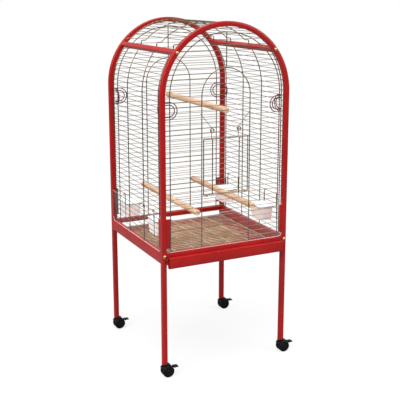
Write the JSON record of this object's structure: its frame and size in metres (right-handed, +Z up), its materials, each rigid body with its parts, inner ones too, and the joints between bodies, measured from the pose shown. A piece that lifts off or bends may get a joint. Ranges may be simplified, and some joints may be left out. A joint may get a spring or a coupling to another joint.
{
  "type": "bird cage on wheeled stand",
  "caption": "Arched square-tube bird cage on a wheeled stand, with wire panels, a drop-down front door, clear seed guards, perches, hanging cups and a pull-out drawer.",
  "frame": {"origin": "on the floor, under the middle of the cage, midway between the four legs", "axes": "+Z up; -Y is the front, with the door and the drawer; +X is to the right seen from the front"},
  "size_m": [0.6315, 0.6065, 1.445],
  "materials": {
    "red_lacquer": "gloss",
    "black_plastic": "satin",
    "steel": "satin",
    "gold_caps": "polished",
    "brass_wire": "satin",
    "maroon_wire": "gloss",
    "brass_clips": "satin",
    "spring_wire": "satin",
    "clear_acrylic": "clear gloss",
    "perch_wood": "matte",
    "holder_wire": "satin",
    "white_plastic": "gloss",
    "bedding": "loose chips",
    "wheel_plastic": "satin"
  },
  "bodies": {
    "cage": {"leg_front_left": "red_lacquer", "leg_front_right": "red_lacquer", "leg_rear_left": "red_lacquer", "leg_rear_right": "red_lacquer", "leg_plugs": "black_plastic", "leg_sleeves": "steel", "front_arched_frame": "red_lacquer", "rear_arched_frame": "red_lacquer", "front_rail": "red_lacquer", "rear_rail": "red_lacquer", "left_side_rail": "red_lacquer", "right_side_rail": "red_lacquer", "left_crossbar": "red_lacquer", "right_crossbar": "red_lacquer", "rail_bolts": "gold_caps", "crossbar_bolts": "gold_caps", "front_wire_panel": "brass_wire", "rear_wire_panel": "brass_wire", "left_wire_panel": "brass_wire", "right_wire_panel": "brass_wire", "corner_rings": "maroon_wire", "door_hinge_clips": "brass_clips", "guard_brackets": "red_lacquer", "perch_centre": "perch_wood", "perch_left": "perch_wood", "perch_right": "perch_wood", "drawer_runners": "red_lacquer"},
    "door": {"door": "brass_wire"},
    "catch_left": {"door_catch_left": "spring_wire"},
    "catch_right": {"door_catch_right": "spring_wire"},
    "roof": {"roof_wire_panel": "brass_wire"},
    "drawer": {"drawer_tray": "red_lacquer", "bedding": "bedding"},
    "grid": {"floor_grid": "brass_wire"},
    "guard_front": {"seed_guard_front": "clear_acrylic"},
    "guard_right": {"seed_guard_right": "clear_acrylic"},
    "guard_rear": {"seed_guard_rear": "clear_acrylic"},
    "guard_left": {"seed_guard_left": "clear_acrylic"},
    "cup_left_front": {"cup_left_front": "white_plastic", "cup_holder_left_front": "holder_wire"},
    "cup_left_rear": {"cup_left_rear": "white_plastic", "cup_holder_left_rear": "holder_wire"},
    "cup_right_front": {"cup_right_front": "white_plastic", "cup_holder_right_front": "holder_wire"},
    "cup_right_rear": {"cup_right_rear": "white_plastic", "cup_holder_right_rear": "holder_wire"},
    "fork_front_left": {"caster_fork_front_left": "black_plastic"},
    "wheels_front_left": {"caster_wheels_front_left": "wheel_plastic"},
    "lever_front_left": {"caster_lever_front_left": "black_plastic"},
    "fork_front_right": {"caster_fork_front_right": "black_plastic"},
    "wheels_front_right": {"caster_wheels_front_right": "wheel_plastic"},
    "lever_front_right": {"caster_lever_front_right": "black_plastic"},
    "fork_rear_left": {"caster_fork_rear_left": "black_plastic"},
    "wheels_rear_left": {"caster_wheels_rear_left": "wheel_plastic"},
    "lever_rear_left": {"caster_lever_rear_left": "black_plastic"},
    "fork_rear_right": {"caster_fork_rear_right": "black_plastic"},
    "wheels_rear_right": {"caster_wheels_rear_right": "wheel_plastic"},
    "lever_rear_right": {"caster_lever_rear_right": "black_plastic"}
  },
  "joints": [
    {"name": "door_hinge", "type": "hinge", "parent": "cage", "child": "door", "pos_m": [0, -0.28, 0.7555], "axis": [1, 0, 0], "range_deg": [0, 105]},
    {"name": "catch_left_squeeze", "type": "hinge", "parent": "door", "child": "catch_left", "pos_m": [-0.061, -0.27645, 1.0165], "axis": [0, 1, 0], "range_deg": [0, 15], "stiffness_Nm_per_rad": 0.05},
    {"name": "catch_right_squeeze", "type": "hinge", "parent": "door", "child": "catch_right", "pos_m": [0.061, -0.27645, 1.0165], "axis": [0, -1, 0], "range_deg": [0, 15], "stiffness_Nm_per_rad": 0.05},
    {"name": "roof_lift", "type": "slide", "parent": "cage", "child": "roof", "axis": [0, 0, 1], "range_m": [0, 0.12]},
    {"name": "drawer_slide", "type": "slide", "parent": "cage", "child": "drawer", "axis": [0, -1, 0], "range_m": [0, 0.42]},
    {"name": "grid_lift", "type": "slide", "parent": "drawer", "child": "grid", "axis": [0, 0, 1], "range_m": [0, 0.012]},
    {"name": "guard_front_lift", "type": "slide", "parent": "cage", "child": "guard_front", "axis": [0, 0, 1], "range_m": [0, 0.065]},
    {"name": "guard_right_lift", "type": "slide", "parent": "cage", "child": "guard_right", "axis": [0, 0, 1], "range_m": [0, 0.065]},
    {"name": "guard_rear_lift", "type": "slide", "parent": "cage", "child": "guard_rear", "axis": [0, 0, 1], "range_m": [0, 0.065]},
    {"name": "guard_left_lift", "type": "slide", "parent": "cage", "child": "guard_left", "axis": [0, 0, 1], "range_m": [0, 0.065]},
    {"name": "cup_left_front_lift", "type": "slide", "parent": "cage", "child": "cup_left_front", "axis": [0, 0, 1], "range_m": [0, 0.014]},
    {"name": "cup_left_rear_lift", "type": "slide", "parent": "cage", "child": "cup_left_rear", "axis": [0, 0, 1], "range_m": [0, 0.014]},
    {"name": "cup_right_front_lift", "type": "slide", "parent": "cage", "child": "cup_right_front", "axis": [0, 0, 1], "range_m": [0, 0.014]},
    {"name": "cup_right_rear_lift", "type": "slide", "parent": "cage", "child": "cup_right_rear", "axis": [0, 0, 1], "range_m": [0, 0.014]},
    {"name": "swivel_front_left", "type": "hinge", "parent": "cage", "child": "fork_front_left", "pos_m": [-0.28, -0.28, 0.054], "axis": [0, 0, 1], "continuous": true},
    {"name": "roll_front_left", "type": "hinge", "parent": "fork_front_left", "child": "wheels_front_left", "pos_m": [-0.268, -0.28, 0.025], "axis": [0, 1, 0], "continuous": true},
    {"name": "brake_front_left", "type": "hinge", "parent": "fork_front_left", "child": "lever_front_left", "pos_m": [-0.2385, -0.28, 0.0375], "axis": [0, 1, 0], "range_deg": [0, 20]},
    {"name": "swivel_front_right", "type": "hinge", "parent": "cage", "child": "fork_front_right", "pos_m": [0.28, -0.28, 0.054], "axis": [0, 0, 1], "continuous": true},
    {"name": "roll_front_right", "type": "hinge", "parent": "fork_front_right", "child": "wheels_front_right", "pos_m": [0.292, -0.28, 0.025], "axis": [0, 1, 0], "continuous": true},
    {"name": "brake_front_right", "type": "hinge", "parent": "fork_front_right", "child": "lever_front_right", "pos_m": [0.3215, -0.28, 0.0375], "axis": [0, 1, 0], "range_deg": [0, 20]},
    {"name": "swivel_rear_left", "type": "hinge", "parent": "cage", "child": "fork_rear_left", "pos_m": [-0.28, 0.28, 0.054], "axis": [0, 0, 1], "continuous": true},
    {"name": "roll_rear_left", "type": "hinge", "parent": "fork_rear_left", "child": "wheels_rear_left", "pos_m": [-0.268, 0.28, 0.025], "axis": [0, 1, 0], "continuous": true},
    {"name": "brake_rear_left", "type": "hinge", "parent": "fork_rear_left", "child": "lever_rear_left", "pos_m": [-0.2385, 0.28, 0.0375], "axis": [0, 1, 0], "range_deg": [0, 20]},
    {"name": "swivel_rear_right", "type": "hinge", "parent": "cage", "child": "fork_rear_right", "pos_m": [0.28, 0.28, 0.054], "axis": [0, 0, 1], "continuous": true},
    {"name": "roll_rear_right", "type": "hinge", "parent": "fork_rear_right", "child": "wheels_rear_right", "pos_m": [0.292, 0.28, 0.025], "axis": [0, 1, 0], "continuous": true},
    {"name": "brake_rear_right", "type": "hinge", "parent": "fork_rear_right", "child": "lever_rear_right", "pos_m": [0.3215, 0.28, 0.0375], "axis": [0, 1, 0], "range_deg": [0, 20]}
  ]
}
